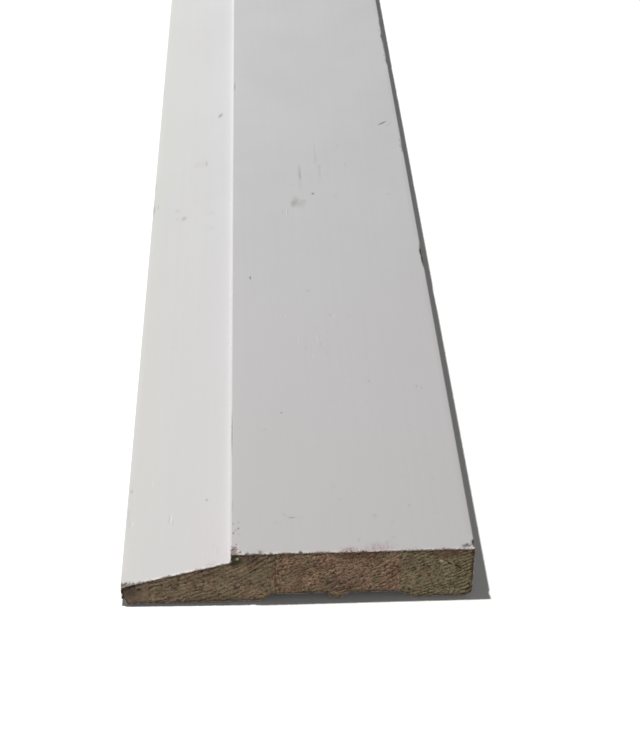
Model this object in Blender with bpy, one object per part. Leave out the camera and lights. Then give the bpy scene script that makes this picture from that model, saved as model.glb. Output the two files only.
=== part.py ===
"""A length of casing moulding, the trim board that frames a door or a window.

It is one board of primed pine with a worn saw cut at its near end. A shallow bevel rises
from the thin inner edge to a step, and a flat runs on from the step to the thick outer
edge. Two wide shallow grooves relieve the back, with a narrow rib between them.

X runs across the width, from the inner edge to the outer edge. Y runs along the board,
away from the near end. Z points out of the face. The origin is under the middle of the
board, on the plane of the back, so the board lies face up on the feet beside its grooves.
"""

import math
from collections import namedtuple

import bmesh
import bpy
from mathutils import Matrix, Vector

# The board, in metres
WIDTH = 0.0889
THICKNESS = 0.015875
LENGTH = 0.400

# The face
INNER_EDGE_HEIGHT = 0.0058
BEVEL_WIDTH = 0.0279
STEP_HEIGHT = 0.0026
STEP_COVE_RADIUS = 0.0010
STEP_ARRIS_RADIUS = 0.0003
OUTER_FACE_RADIUS = 0.0004
INNER_FACE_RADIUS = 0.0005

# The back, with its grooves placed from the outer edge
OUTER_BACK_RADIUS = 0.0024
OUTER_FOOT_WIDTH = 0.0157
OUTER_GROOVE_WIDTH = 0.0182
OUTER_GROOVE_SIDE = 0.0026
RIB_WIDTH = 0.0014
INNER_GROOVE_WIDTH = 0.0176
INNER_GROOVE_SIDE = 0.0018
GROOVE_DEPTH = 0.0020
GROOVE_FOOT_RADIUS = 0.0008
GROOVE_ROOT_RADIUS = 0.0015
INNER_CHAMFER_WIDTH = 0.0012
INNER_CHAMFER_HEIGHT = 0.0020
INNER_CHAMFER_RADIUS = 0.0006

# Each round corner's arc is drawn with this many chords
ARC_STEPS = 4

# Wood torn out of the near end's corners: how far each goes across, along and down
STEP_CHIP = Vector((0.0020, 0.0019, 0.0011))
STEP_CHIP_PLACE = 0.0008
OUTER_CHIP = Vector((0.0030, 0.0021, 0.0008))
INNER_CHIP = Vector((0.0006, 0.0012, 0.0008))
INNER_CHIP_HEIGHT = 0.0031

# Nicks in the outer face arris: middle from the near end, length and depth
Nick = namedtuple("Nick", "place length depth")
OUTER_NICKS = (
    Nick(place=0.1403, length=0.0060, depth=0.0008),
    Nick(place=0.2130, length=0.0060, depth=0.0005),
    Nick(place=0.3050, length=0.0440, depth=0.0007),
)

PRIMER = (0.69, 0.68, 0.67, 1.0)
PRIMER_ROUGHNESS = 0.55
BARE_PINE = (0.33, 0.24, 0.15, 1.0)
BARE_PINE_ROUGHNESS = 0.85
PRIMED, BARE = 0, 1

Corner = namedtuple("Corner", "place radius")


def make_material(name, colour, roughness):
    """A plain Principled material with no metal in it."""
    material = bpy.data.materials.new(name)
    material.use_nodes = True
    material.diffuse_color = colour
    shader = material.node_tree.nodes["Principled BSDF"]
    shader.inputs["Base Color"].default_value = colour
    shader.inputs["Roughness"].default_value = roughness
    shader.inputs["Metallic"].default_value = 0.0
    return material


def groove(start, end, side):
    """Corners of one back groove, whose sides slope in from the feet that it runs between."""
    return [
        Corner(Vector((start, 0.0)), GROOVE_FOOT_RADIUS),
        Corner(Vector((start + side, GROOVE_DEPTH)), GROOVE_ROOT_RADIUS),
        Corner(Vector((end - side, GROOVE_DEPTH)), GROOVE_ROOT_RADIUS),
        Corner(Vector((end, 0.0)), GROOVE_FOOT_RADIUS),
    ]


def cross_section():
    """Corners of the cross-section as (x, z), anticlockwise as seen from the near end."""
    inner, outer = -WIDTH / 2, WIDTH / 2
    step = inner + BEVEL_WIDTH
    outer_groove_end = outer - OUTER_FOOT_WIDTH
    outer_groove_start = outer_groove_end - OUTER_GROOVE_WIDTH
    inner_groove_end = outer_groove_start - RIB_WIDTH
    inner_groove_start = inner_groove_end - INNER_GROOVE_WIDTH
    return [
        Corner(Vector((inner + INNER_CHAMFER_WIDTH, 0.0)), INNER_CHAMFER_RADIUS),
        *groove(inner_groove_start, inner_groove_end, INNER_GROOVE_SIDE),
        *groove(outer_groove_start, outer_groove_end, OUTER_GROOVE_SIDE),
        Corner(Vector((outer, 0.0)), OUTER_BACK_RADIUS),
        Corner(Vector((outer, THICKNESS)), OUTER_FACE_RADIUS),
        Corner(Vector((step, THICKNESS)), STEP_ARRIS_RADIUS),
        Corner(Vector((step, THICKNESS - STEP_HEIGHT)), STEP_COVE_RADIUS),
        Corner(Vector((inner, INNER_EDGE_HEIGHT)), INNER_FACE_RADIUS),
        Corner(Vector((inner, INNER_CHAMFER_HEIGHT)), INNER_CHAMFER_RADIUS),
    ]


def rounded(before, corner, after):
    """Points along the arc that rounds one corner between its two neighbours."""
    back = (before.place - corner.place).normalized()
    ahead = (after.place - corner.place).normalized()
    half_angle = back.angle(ahead) / 2
    start = corner.place + back * corner.radius / math.tan(half_angle)
    centre = corner.place + (back + ahead).normalized() * corner.radius / math.sin(half_angle)
    turn = math.pi - 2 * half_angle
    if back.x * ahead.y - back.y * ahead.x > 0:
        turn = -turn
    spoke = start - centre
    steps = [turn * step / ARC_STEPS for step in range(ARC_STEPS + 1)]
    return [centre + Matrix.Rotation(angle, 2) @ spoke for angle in steps]


def outline():
    """All points of the cross-section, with its corners rounded."""
    corners = cross_section()
    following = corners[1:] + corners[:1]
    points = []
    for before, corner, after in zip(corners[-1:] + corners, corners, following):
        points += rounded(before, corner, after)
    return points


def make_board(materials):
    """The board: its cross-section drawn at the near end and extruded to the far end."""
    mesh = bpy.data.meshes.new("casing")
    solid = bmesh.new()
    ring = [solid.verts.new((point.x, -LENGTH / 2, point.y)) for point in outline()]
    near_end = solid.faces.new(ring)
    made = bmesh.ops.extrude_face_region(solid, geom=[near_end], use_keep_orig=True)
    far_points = [item for item in made["geom"] if isinstance(item, bmesh.types.BMVert)]
    bmesh.ops.translate(solid, verts=far_points, vec=(0.0, LENGTH, 0.0))
    bmesh.ops.recalc_face_normals(solid, faces=solid.faces)
    for face in solid.faces:
        face.material_index = BARE if abs(face.normal.y) > 0.5 else PRIMED
    solid.to_mesh(mesh)
    solid.free()
    for material in materials:
        mesh.materials.append(material)
    mesh.shade_smooth()
    mesh.set_sharp_from_angle(angle=math.radians(30))
    board = bpy.data.objects.new("casing", mesh)
    bpy.context.scene.collection.objects.link(board)
    return board


def damage():
    """Centre and radii of each place where wood is torn out of the board."""
    near, inner, outer = -LENGTH / 2, -WIDTH / 2, WIDTH / 2
    places = [
        (Vector((inner + BEVEL_WIDTH + STEP_CHIP_PLACE, near, THICKNESS)), STEP_CHIP),
        (Vector((outer, near, THICKNESS)), OUTER_CHIP),
        (Vector((inner, near, INNER_CHIP_HEIGHT)), INNER_CHIP),
    ]
    for nick in OUTER_NICKS:
        centre = Vector((outer, near + nick.place, THICKNESS))
        places.append((centre, Vector((nick.depth, nick.length / 2, nick.depth))))
    return places


def tear_out(board, number, centre, radii, materials):
    """Cuts one ellipsoid out of the board, and leaves bare wood where it was."""
    mesh = bpy.data.meshes.new(f"tear_{number}")
    ball = bmesh.new()
    bmesh.ops.create_icosphere(ball, subdivisions=2, radius=1.0)
    bmesh.ops.scale(ball, vec=radii, verts=ball.verts)
    for face in ball.faces:
        face.material_index = BARE
    ball.to_mesh(mesh)
    ball.free()
    for material in materials:
        mesh.materials.append(material)
    cutter = bpy.data.objects.new(f"tear_{number}", mesh)
    cutter.location = centre
    cutter.hide_render = True
    cutter.display_type = "WIRE"
    bpy.context.scene.collection.objects.link(cutter)
    cut = board.modifiers.new(f"Tear {number}", "BOOLEAN")
    cut.operation = "DIFFERENCE"
    cut.solver = "EXACT"
    cut.object = cutter


def main():
    """Clears the scene and builds the board."""
    for old in list(bpy.data.objects):
        bpy.data.objects.remove(old, do_unlink=True)
    materials = (
        make_material("primer", PRIMER, PRIMER_ROUGHNESS),
        make_material("bare_pine", BARE_PINE, BARE_PINE_ROUGHNESS),
    )
    board = make_board(materials)
    for number, (centre, radii) in enumerate(damage(), start=1):
        tear_out(board, number, centre, radii, materials)


main()
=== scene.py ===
"""The looks of a length of casing moulding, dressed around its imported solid.

The board is primed pine. A shallow bevel rises from the thin inner edge to a step, a flat
runs on to the thick outer edge, and two wide grooves relieve the back. The near end is a
worn saw cut across glued staves, with torn corners and a broken edge of paint.

X runs across the board from the inner to the outer edge, Y along it from the near end,
and Z out of the face. Lengths are in metres, and values in millimetres say so.
"""

from __future__ import annotations

import logging
import math
from dataclasses import dataclass
from enum import Enum
from typing import Iterable

import bmesh
import bpy
import numpy as np
from bmesh.types import BMesh, BMFace, BMVert
from bpy.types import Material, Node, NodeSocket, Object
from mathutils import Matrix, Vector, noise

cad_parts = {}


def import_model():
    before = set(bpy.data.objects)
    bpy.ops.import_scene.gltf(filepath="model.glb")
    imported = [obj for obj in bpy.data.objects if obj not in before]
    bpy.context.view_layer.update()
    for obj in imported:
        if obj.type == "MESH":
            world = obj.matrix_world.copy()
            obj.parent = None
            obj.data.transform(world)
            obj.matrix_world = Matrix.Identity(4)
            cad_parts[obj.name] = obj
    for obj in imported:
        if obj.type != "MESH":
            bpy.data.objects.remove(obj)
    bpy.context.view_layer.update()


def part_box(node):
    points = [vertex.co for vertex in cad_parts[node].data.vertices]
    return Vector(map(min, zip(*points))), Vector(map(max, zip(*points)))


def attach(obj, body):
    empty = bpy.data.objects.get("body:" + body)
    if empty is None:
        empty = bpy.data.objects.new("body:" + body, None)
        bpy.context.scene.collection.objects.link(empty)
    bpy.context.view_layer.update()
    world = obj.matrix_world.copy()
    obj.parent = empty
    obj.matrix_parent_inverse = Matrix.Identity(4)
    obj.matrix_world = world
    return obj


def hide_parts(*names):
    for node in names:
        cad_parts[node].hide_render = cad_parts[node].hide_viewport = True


LOG = logging.getLogger("casing")
MM = 0.001
TOUCH = 1e-6
NODE = "casing"
PIECE = "casing_board"
LAYERS = ("rim", "soil_and_shade", "tint", "bare")

# What a Mix node needs to mix colours: its output for them is the third
COLOURS = {"output": 2, "data_type": "RGBA"}


def linear(code: str) -> tuple[float, float, float, float]:
    """Turns an sRGB hex colour into linear light.

    Args:
        code: the colour as six hex digits.

    Returns:
        Red, green, blue and an alpha of 1.
    """
    shares = [int(code[at : at + 2], 16) / 255 for at in (0, 2, 4)]
    light = [s / 12.92 if s <= 0.04045 else ((s + 0.055) / 1.055) ** 2.4 for s in shares]
    return (light[0], light[1], light[2], 1.0)


def per_metre(size: float) -> float:
    """How often a pattern repeats in a metre, from its size in millimetres."""
    return 1 / (size * MM)


@dataclass
class Network:
    """One material and its nodes."""

    material: Material

    @classmethod
    def start(cls, name: str) -> Network:
        """Makes a material that has only its shader."""
        material = bpy.data.materials.new(name)
        material.use_nodes = True
        return cls(material)

    def fill(self, node: Node, inputs: dict) -> None:
        """Gives each named or numbered input a socket that feeds it, a hex colour or a value."""
        for name, value in inputs.items():
            if isinstance(value, NodeSocket):
                self.material.node_tree.links.new(value, node.inputs[name])
            else:
                node.inputs[name].default_value = linear(value) if isinstance(value, str) else value

    def add(self, kind: str, inputs: dict, output: str | int = 0, **settings: object) -> NodeSocket:
        """Adds a node with its settings and links.

        Args:
            kind: its type, without the ShaderNode that every type name starts with.
            inputs: for each input's name or number, a socket, a hex colour or a value.
            output: name or number of the output that is wanted.
            settings: the node's own properties.

        Returns:
            That output.
        """
        node = self.material.node_tree.nodes.new("ShaderNode" + kind)
        for name, value in settings.items():
            setattr(node, name, value)
        self.fill(node, inputs)
        return node.outputs[output]

    def shade(self, inputs: dict) -> Material:
        """Fills the shader's own inputs and gives back the finished material."""
        self.fill(self.material.node_tree.nodes["Principled BSDF"], inputs)
        return self.material


class Face(Enum):
    """Where on the board a mark lies."""

    TOP = "top"
    END = "end"
    OUTER_ARRIS = "outer arris"


@dataclass(frozen=True)
class Mark:
    """A dent, scratch, speck or stain, in millimetres.

    On the top its place is across from the centre line and along from the near end. On the
    cut end it is across and up. On the outer arris it is down and along. Soil darkens, and below
    zero it lightens; in the darkest knocks it is partly painted shade. Tint is how red the soil
    is, and below zero how green.
    """

    face: Face
    place: tuple[float, float]
    reach: tuple[float, float]
    soil_and_shade: float = 0.0
    tint: float = 0.0
    depth: float = 0.0
    turn: float = 0.0
    bare: float = 0.0


# Marks chosen from the photograph. Each has its place and its reach, two numbers each,
# and then its soil, tint, depth, turn and bare as far as it has them.
FACE_MARKS = (
    # A long press mark, and the fainter line beside it
    (7.0, 195.3, 0.75, 6.6, 0.17, 0, 0.05),
    (6.9, 191.7, 0.51, 3.0, 0.16),
    (6.7, 185.7, 0.95, 5.0, 0.05),
    (12.9, 212.9, 0.42, 4.0, 0.07, 0, 0.03),
    (13.1, 205.0, 0.9, 6.0, 0.06, 0, 0.03),
    (14.1, 194.7, 0.59, 7.2, 0.06, 0, 0.03),
    (14.0, 199.1, 1.5, 1.8, 0.06),
    # A dark speck, and the olive smudge beside it
    (10.9, 179.8, 0.65, 0.85, 0.62, 0, 0.04),
    (3.9, 173.1, 1.2, 2.9, 0.26, -0.7),
    (4.8, 175.7, 1.2, 3.4, 0.16, -0.5),
    (6.0, 173.3, 2.6, 3.7, 0.16, -1.0),
    (7.7, 175.0, 1.2, 1.2, 0.09),
    # A small crescent pressed in by a tool's edge
    (1.9, 167.8, 0.38, 2.7, 0.16),
    (1.3, 167.8, 0.34, 2.7, -0.3, 0, 0.08),
    (0.2, 168.2, 0.34, 2.7, 0.09),
    # The slanted scratch near the outer edge
    (38.6, 231.5, 2.9, 0.55, 0.62, 0, 0.14, 43.0),
    (40.6, 230.3, 2.6, 0.51, 0.09, 0, 0, 50.0),
    # Small light nicks and specks over the flat
    (-0.6, 105.5, 0.35, 1.1, -0.16, 0, 0.04),
    (2.9, 92.0, 0.34, 1.8, -0.1, 0, 0.03),
    (5.2, 88.5, 0.34, 1.6, 0.08),
    (8.4, 93.0, 0.34, 2.2, -0.1, 0, 0.03, 8.0),
    (9.6, 90.0, 0.34, 1.5, 0.09, 0, 0, -10.0),
    (7.0, 84.0, 0.34, 1.7, -0.09, 0, 0.03, 6.0),
    (11.4, 86.0, 0.34, 1.2, 0.08),
    (26.2, 70.0, 0.6, 0.45, -0.14),
    (-4.8, 72.5, 0.45, 0.8, -0.12),
    (-10.8, 127.2, 0.36, 1.3, 0.62, 0, 0.05),
    (7.0, 119.1, 0.68, 0.77, 0.17),
    (13.1, 105.5, 0.51, 0.94, 0.15),
    (14.2, 105.3, 0.47, 0.85, -0.22, 0, 0.05),
    (18.9, 105.0, 0.42, 0.77, 0.12),
    (-2.6, 57.4, 0.42, 0.59, 0.37),
    (22.6, 71.4, 0.47, 0.77, 0.16),
    (36.0, 68.4, 0.38, 0.51, 0.31),
    (37.4, 67.4, 0.34, 0.51, 0.25),
    (17.0, 71.8, 0.47, 0.85, -0.15),
    (-7.4, 50.1, 0.59, 0.77, 0.09),
    (36.5, 178.7, 1.4, 0.94, 0.07),
    (23.0, 199.8, 0.51, 2.2, 0.09),
    (21.1, 213.8, 0.64, 2.3, 0.06),
    (18.2, 178.0, 1.05, 2.8, 0.04),
    (3.6, 185.8, 1.4, 0.94, 0.04),
    (-5.2, 231.1, 0.42, 3.2, 0.04),
    (-3.8, 233.5, 1.1, 2.4, -0.06),
    (20.2, 13.4, 0.72, 0.89, 0.12),
    (24.5, 11.0, 0.68, 0.68, 0.07),
    (29.4, 17.0, 0.55, 0.68, 0.1),
    (11.5, 20.1, 0.55, 0.85, 0.06),
    (10.3, 25.7, 0.68, 1.6, 0.04),
    (-5.1, 11.6, 0.68, 1.2, 0.05),
    (15.5, 4.2, 0.34, 1.2, 0.14),
    (24.4, 5.0, 0.72, 0.51, 0.11),
    (22.8, 3.5, 1.0, 0.94, 0.06, 0.5),
    # A short dash scored into the paint
    (-0.9, 13.4, 1.25, 0.36, 0.36, 0, 0.06),
    (-2.7, 14.5, 1.4, 0.38, 0.08, 0, 0, -41.0),
    (0.8, 13.4, 1.3, 0.68, 0.05),
    # Specks beside the step, a thin dark line along its arris, and a nick further up
    (-14.6, 9.8, 0.38, 0.51, 0.59, 0, 0.04),
    (-15.8, 8.1, 0.38, 0.55, 0.56, 0, 0.04),
    (-15.3, 9.1, 0.3, 0.38, 0.37),
    (-15.9, 11.6, 0.3, 0.77, 0.28),
    (-14.6, 7.6, 0.3, 0.42, 0.25),
    (-14.6, 12.1, 0.3, 0.68, 0.19),
    (-16.3, 48.5, 0.24, 13.0, 0.53, 0, 0.06),
    (-16.2, 18.3, 0.3, 3.6, 0.12),
    (-15.7, 263.7, 0.51, 4.4, 0.19, 0, 0.08),
    # Marks on the bevel, two of them rusty
    (-21.3, 247.4, 2.3, 1.05, 0.42, 0, 0.04, 75.0),
    (-26.0, 211.8, 0.55, 3.0, 0.22),
    (-29.4, 212.8, 2.0, 3.0, 0.09, 1.0),
    (-27.2, 212.4, 1.3, 3.4, 0.07, 1.0),
    (-33.2, 176.6, 1.3, 1.9, 0.24),
    (-35.7, 182.8, 1.25, 1.8, 0.09),
    (-35.5, 177.3, 0.51, 2.0, 0.09),
    (-23.8, 175.8, 1.4, 2.4, 0.07, 1.0),
    (-23.7, 165.8, 1.4, 2.3, 0.07, 1.0),
    (-23.0, 26.2, 0.51, 0.68, 0.34),
    (-32.5, 21.9, 0.34, 2.2, -0.26, 0, 0.1),
    (-31.8, 20.3, 0.34, 1.7, 0.09),
    (-37.8, 37.6, 0.34, 1.9, -0.15),
    (-19.9, 5.9, 0.34, 2.2, 0.09),
    (-21.0, 7.5, 0.68, 1.2, 0.05),
    (-31.9, 10.4, 1.05, 0.42, 0.06),
    # Knocks and dirt on the inner arris
    (-43.4, 36.8, 0.9, 0.38, 0.25, 0, 0.1, 76.0),
    (-42.9, 23.3, 0.68, 1.2, -0.12, 0, 0.08),
    (-43.9, 27.2, 0.34, 3.3, 0.11),
    (-44.0, 204.2, 0.47, 3.0, 0.14, 0, 0.06),
    (-44.0, 188.0, 0.59, 3.9, 0.31, 0, 0.1),
    (-42.7, 189.0, 0.42, 2.8, 0.17),
    (-44.1, 280.6, 0.47, 3.7, 0.15, 0, 0.1),
)
KNOCKS = (
    # Knocks on the outer arris, through the paint. The two darkest, near 140 mm along, are dark partly as
    # painted shade on the chip's side face.
    (0.0, 141.0, 0.75, 3.0, 1.9, 0, 0.2, 0, 0.3),
    (0.0, 136.5, 0.65, 6.0, 1.3, 0, 0.1, 0, 0.2),
    (0.0, 144.0, 0.6, 2.6, 0.4, 0, 0.1, 0, 0.3),
    (0.0, 213.0, 0.7, 5.0, 0.4, 0, 0.08, 0, 0.3),
    (0.0, 285.5, 0.7, 4.0, 0.5, 0, 0.1, 0, 0.3),
    (0.0, 305.0, 0.6, 21.0, 0.3, 0, 0.1, 0, 0.2),
    (0.0, 308.5, 0.8, 5.0, 0.5, 0, 0.1, 0, 0.3),
    (0.0, 322.0, 0.7, 5.0, 0.3, 0, 0.06, 0, 0.2),
)
KNOCK_SPECKS = (
    # Specks beside those knocks
    (43.7, 290.5, 0.4, 1.6, 0.3),
    (43.9, 298.0, 0.36, 1.2, 0.25),
    (43.4, 303.5, 0.36, 1.8, 0.22),
    (43.8, 309.0, 0.5, 1.6, 0.38),
    (43.3, 314.5, 0.36, 1.4, 0.2),
    (43.9, 209.5, 0.38, 1.3, 0.4),
    (43.5, 213.5, 0.36, 1.1, 0.28),
    (43.8, 218.0, 0.36, 1.6, 0.32),
)
END_MARKS = (
    # The cut end: a knot hole, a gouge, dark pits, and flecks of paint that the saw pushed in
    (-39.7, 4.8, 0.8, 0.55, 1.0, 0, 0.55),
    (-41.2, 6.0, 1.6, 0.5, 0.45, 0, 0, 12.0),
    (38.2, 11.1, 0.85, 0.34, 1.3, 0, 0.3, -28.0),
    (40.2, 10.2, 1.1, 0.36, 1.4, 0, 0.3, -18.0),
    (37.5, 11.9, 0.75, 0.32, 0.8, 0, 0.25, -35.0),
    (36.1, 12.1, 0.6, 0.42, -2.4, 0, 0, -30.0),
    (-15.2, 13.7, 2.1, 3.0, 0.95, -0.15, 0.3),
    (-16.0, 12.6, 0.9, 1.0, 0.5),
    (-14.9, 14.2, 0.62, 0.6, -2.3),
    (-37.1, 5.1, 0.6, 0.5, 0.5, 1.0, 0.15),
    (-36.6, 3.9, 0.6, 0.5, 0.6, 1.0, 0.15),
    (-37.2, 2.7, 0.5, 0.5, 0.5, 1.0, 0.15),
    (-10.9, 10.4, 2.1, 0.36, 0.75, 0, 0.15, 36.0),
    (-13.6, 8.6, 1.0, 0.32, 0.5, 0, 0.1, 36.0),
    (6.9, 6.9, 1.5, 0.45, 0.5, 0, 0.15, -24.0),
    (11.0, 3.0, 2.0, 0.42, 0.7, 0, 0.15, 24.0),
    (10.0, 5.4, 1.6, 0.4, 0.5, 0, 0.12, 26.0),
    (13.0, 3.6, 1.3, 0.4, 0.7, 0, 0.15, 36.0),
    (16.6, 4.8, 0.9, 0.45, 0.5, 1.0, 0.1),
    (29.0, 2.0, 1.6, 0.9, 0.35, 1.0),
    (41.0, 9.3, 0.55, 0.35, 0.8, 0, 0.2),
    # Darker, redder and greener parts of the wood
    (-44.3, 3.6, 0.7, 2.6, 0.9),
    (-43.2, 5.2, 1.6, 0.8, 0.4, 0, 0, 14.0),
    (44.1, 9.5, 0.6, 5.5, 0.5, 0.8),
    (0.5, 10.5, 3.2, 2.6, 0.24, 0, 0, 30.0),
    (-1.8, 6.2, 2.2, 2.2, -0.08),
    (20.0, 6.5, 2.2, 3.2, 0.24, -0.4),
    (33.0, 6.0, 4.0, 1.2, -0.07, 0, 0, 28.0),
    (36.5, 3.6, 4.5, 1.4, 0.2, -0.6),
    (-42.2, 4.2, 3.0, 2.6, 0.44),
    (-34.0, 5.6, 2.8, 2.2, 0.2),
    (-20.0, 1.2, 9.0, 1.1, 0.26),
    (37.6, 14.3, 7.8, 1.5, 0.62, 0.9),
    (15.5, 14.4, 9.0, 1.3, 0.5, 0.9),
    (-2.0, 14.9, 3.0, 0.8, 0.35, 0.9),
    (-25.0, 8.5, 9.5, 1.8, 0.32, 0.45, 0, 14.0),
    (-18.8, 6.8, 2.8, 1.7, 0.3, -1.0),
    (-9.4, 9.2, 3.6, 2.9, 0.34, -1.0, 0, 35.0),
    (-30.5, 3.4, 5.0, 1.4, 0.3, -1.0),
    (5.3, 2.6, 1.5, 1.4, 0.45, -1.0),
    (13.5, 2.9, 4.5, 0.8, 0.35, -0.8),
    (-11.4, 13.9, 4.2, 2.0, 0.5),
    (24.5, 9.0, 2.2, 2.6, 0.22, 0.6),
)
MARKS = tuple(
    Mark(face, row[:2], row[2:4], *row[4:])
    for face, rows in (
        (Face.TOP, FACE_MARKS),
        (Face.OUTER_ARRIS, KNOCKS),
        (Face.TOP, KNOCK_SPECKS),
        (Face.END, END_MARKS),
    )
    for row in rows
)


@dataclass(frozen=True)
class Tear:
    """Wood and paint torn out of the near end, in millimetres.

    Its place is across, along from the near end and up, and its pull is the way in which
    the surface has sunk.
    """

    place: tuple[float, float, float]
    reach: tuple[float, float, float]
    pull: tuple[float, float, float]
    depth: float
    bare: float = 1.0
    soil_and_shade: float = 0.0
    tint: float = 0.0


DOWN_IN = (0.0, 0.7, -0.7)

# Each tear has its place and its reach, three numbers each, and then its pull, depth, bare,
# soil and tint as far as it has them.
TEAR_ROWS = (
    # The step's corner
    (-15.5, 0.0, 15.9, 1.3, 3.2, 1.6, (0.2, 0.7, -0.7), 0.8, 0.50, 0.30, 1.0),
    (-15.5, 1.7, 15.9, 1.1, 0.5, 0.8, DOWN_IN, 0.20, 0.30, 0.60, 1.0),
    (-13.9, 0.0, 15.9, 0.7, 1.2, 0.8, DOWN_IN, 0.25, 0.30, 0.20, 1.0),
    # The outer corner, dark with a light torn lip
    (42.9, 0.0, 15.9, 2.0, 1.7, 1.0, (-0.3, 0.6, -0.7), 0.45, 0.35, 0.20, 1.0),
    (42.4, 1.4, 15.9, 1.1, 0.6, 0.6, DOWN_IN, 0.15, 0.25, 0.85),
    (43.5, 1.9, 15.9, 0.6, 0.4, 0.6, DOWN_IN, 0.08, 0.20, 0.3),
    (44.4, 2.3, 15.9, 0.6, 1.3, 0.9, (-0.8, 0.0, -0.6), 0.40, 0.45, 1.5),
    (42.7, 0.8, 15.9, 0.9, 0.4, 0.6, DOWN_IN, 0.05, 0.0, -0.6),
    # The thin inner edge
    (-44.5, 0.0, 5.6, 1.0, 1.2, 0.8, (0.7, 0.6, -0.4), 0.45, 0.6, 0.7),
    (-44.5, 0.0, 3.1, 0.7, 0.9, 0.7, (0.8, 0.6, 0.0), 0.60, 0.8, 0.6),
    (-44.2, 0.0, 1.0, 1.0, 1.2, 1.1, (0.8, 0.3, 0.5), 0.55, 0.6, 0.4),
    (-44.1, 0.0, 6.0, 0.5, 1.7, 0.6, DOWN_IN, 0.30, 0.75, 1.5),
    (-43.2, 0.0, 6.2, 0.4, 1.2, 0.5, DOWN_IN, 0.26, 0.75, 1.5),
    (-42.6, 0.0, 6.3, 1.8, 1.3, 0.7, DOWN_IN, 0.26, 0.60, 1.1),
    (-41.2, 0.0, 6.7, 0.4, 1.3, 0.5, DOWN_IN, 0.22, 0.70, 1.2),
    (-39.4, 0.0, 7.1, 1.6, 0.9, 0.6, DOWN_IN, 0.20, 0.55, 0.8),
    (-37.0, 0.0, 7.7, 0.9, 0.6, 0.6, DOWN_IN, 0.16, 0.55, 0.7),
    # Wear along the flat's front arris
    (-12.4, 0.0, 15.9, 0.6, 1.1, 0.6, DOWN_IN, 0.22, 0.65, 0.9),
    (-10.7, 0.0, 15.9, 1.1, 0.6, 0.5, DOWN_IN, 0.16, 0.60, 0.7),
    (-9.0, 0.0, 15.9, 0.9, 1.6, 0.7, DOWN_IN, 0.28, 0.50, 0.6, -0.4),
    (-6.4, 0.0, 15.9, 0.5, 0.7, 0.5, DOWN_IN, 0.16, 0.55, 0.8),
    (-2.9, 0.0, 15.9, 2.4, 0.6, 0.5, DOWN_IN, 0.14, 0.55, 0.6),
    (0.9, 0.0, 15.9, 0.5, 1.1, 0.5, DOWN_IN, 0.18, 0.65, 1.0),
    (6.1, 0.0, 15.9, 3.0, 0.7, 0.5, DOWN_IN, 0.14, 0.50, 0.6),
    (13.2, 0.0, 15.9, 2.8, 1.8, 0.8, DOWN_IN, 0.24, 0.48, 0.30, 1.0),
    (16.6, 0.0, 15.9, 1.6, 0.9, 0.7, DOWN_IN, 0.18, 0.50, 0.50, 0.8),
    (20.9, 0.0, 15.9, 4.8, 3.4, 0.9, DOWN_IN, 0.14, 0.32, 0.16, 1.0),
    (19.4, 0.0, 15.9, 0.9, 2.4, 0.7, DOWN_IN, 0.12, 0.20, 0.20, 1.0),
    (28.6, 0.0, 15.9, 3.4, 1.0, 0.6, DOWN_IN, 0.14, 0.42, 0.30, 0.6),
    (36.4, 0.0, 15.9, 3.0, 0.7, 0.6, DOWN_IN, 0.12, 0.50, 0.50),
    # Wear along the bevel's front arris
    (-32.8, 0.0, 8.9, 2.2, 0.7, 0.6, DOWN_IN, 0.14, 0.50, 0.6),
    (-28.4, 0.0, 10.0, 1.4, 0.5, 0.5, DOWN_IN, 0.12, 0.50, 0.5),
    (-24.6, 0.0, 11.1, 1.6, 0.9, 0.5, DOWN_IN, 0.14, 0.45, 0.4, 0.6),
    (-21.2, 0.0, 12.0, 3.2, 1.9, 0.6, DOWN_IN, 0.12, 0.30, 0.14, 1.0),
    (-18.4, 0.0, 12.7, 1.2, 0.7, 0.6, DOWN_IN, 0.12, 0.45, 0.3, 0.6),
)
TEARS = tuple(Tear(row[:3], row[3:6], *row[6:]) for row in TEAR_ROWS)


@dataclass(frozen=True)
class Corner:
    """One corner of the cross-section and the radius that rounds it."""

    x: float
    z: float
    radius: float


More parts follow.
